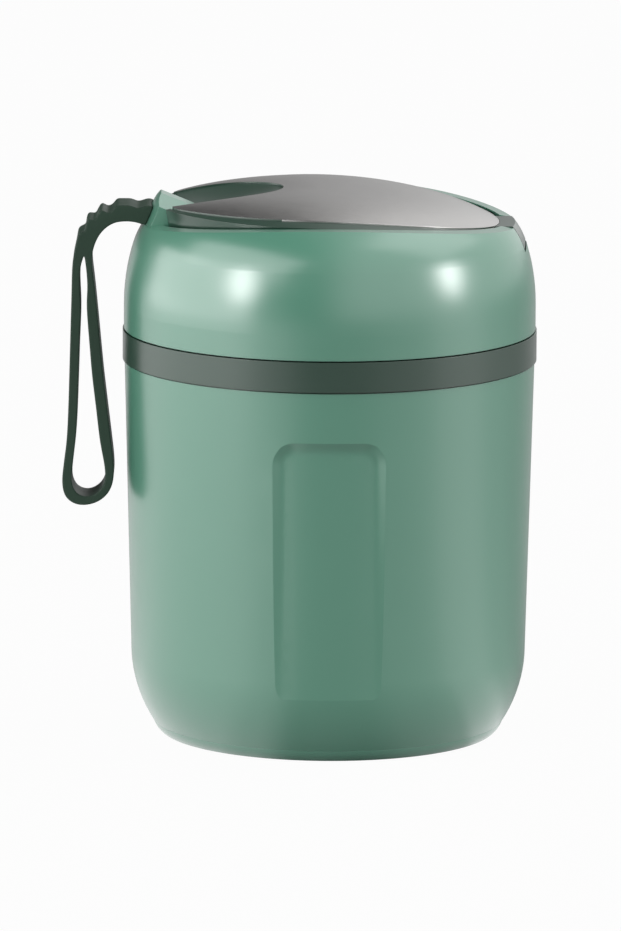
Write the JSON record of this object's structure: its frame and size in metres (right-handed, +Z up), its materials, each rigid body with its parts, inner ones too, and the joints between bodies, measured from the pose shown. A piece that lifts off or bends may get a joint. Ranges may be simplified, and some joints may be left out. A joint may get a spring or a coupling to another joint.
{
  "type": "insulated food jar",
  "caption": "Wide-mouthed vacuum food jar with a screw lid, a hinged flip cover over a spoon tray and a moulded carry loop.",
  "frame": {"origin": "on the jar's axis, in the plane that it stands on", "axes": "+Z up along the jar's axis; -Y is the front with the recessed panel; +X is the side with the flip cover's hinge and -X the side with the strap"},
  "size_m": [0.1202, 0.105, 0.14],
  "materials": {
    "light_shell": "sage green moulded plastic, glossy",
    "dark_trim": "dark green moulded plastic, satin",
    "dark_strap": "dark green moulded elastomer, satin",
    "trim_steel": "fine brushed satin steel",
    "flask_steel": "spun steel, satin",
    "spoon_steel": "polished steel",
    "pin_steel": "turned steel",
    "pale_plastic": "off-white food-safe plastic",
    "silicone": "translucent white silicone",
    "foam": "closed cell insulation foam",
    "dark_rubber": "soft non-slip rubber"
  },
  "bodies": {
    "jar": {"base_pad": "dark_rubber", "base_cap": "light_shell", "outer_shell": "light_shell", "neck_ring": "dark_trim", "neck_gasket": "silicone", "vacuum_jacket": "flask_steel", "inner_pot": "flask_steel"},
    "stopper": {"stopper_cup": "pale_plastic", "stopper_foam": "foam", "stopper_cap": "pale_plastic", "stopper_seal": "silicone"},
    "lid": {"lid_shell": "light_shell", "lid_liner": "pale_plastic", "lid_tray": "dark_trim", "tray_screws": "pin_steel", "hinge_pin": "pin_steel", "strap": "dark_strap", "strap_pin": "pin_steel", "spoon_bowl": "spoon_steel", "spoon_handle": "spoon_steel", "spoon_rivet": "pin_steel"},
    "cover": {"cover_body": "dark_trim", "cover_plate": "trim_steel"}
  },
  "joints": [
    {"name": "lid_lift", "type": "slide", "parent": "jar", "child": "stopper", "axis": [0, 0, 1], "range_m": [0, 0.08]},
    {"name": "lid_turn", "type": "hinge", "parent": "stopper", "child": "lid", "pos_m": [0, 0, 0.12], "axis": [0, 0, 1], "range_deg": [0, 120]},
    {"name": "cover_flip", "type": "hinge", "parent": "lid", "child": "cover", "pos_m": [0.044, 0, 0.127], "axis": [0, 1, 0], "range_deg": [0, 100]}
  ]
}
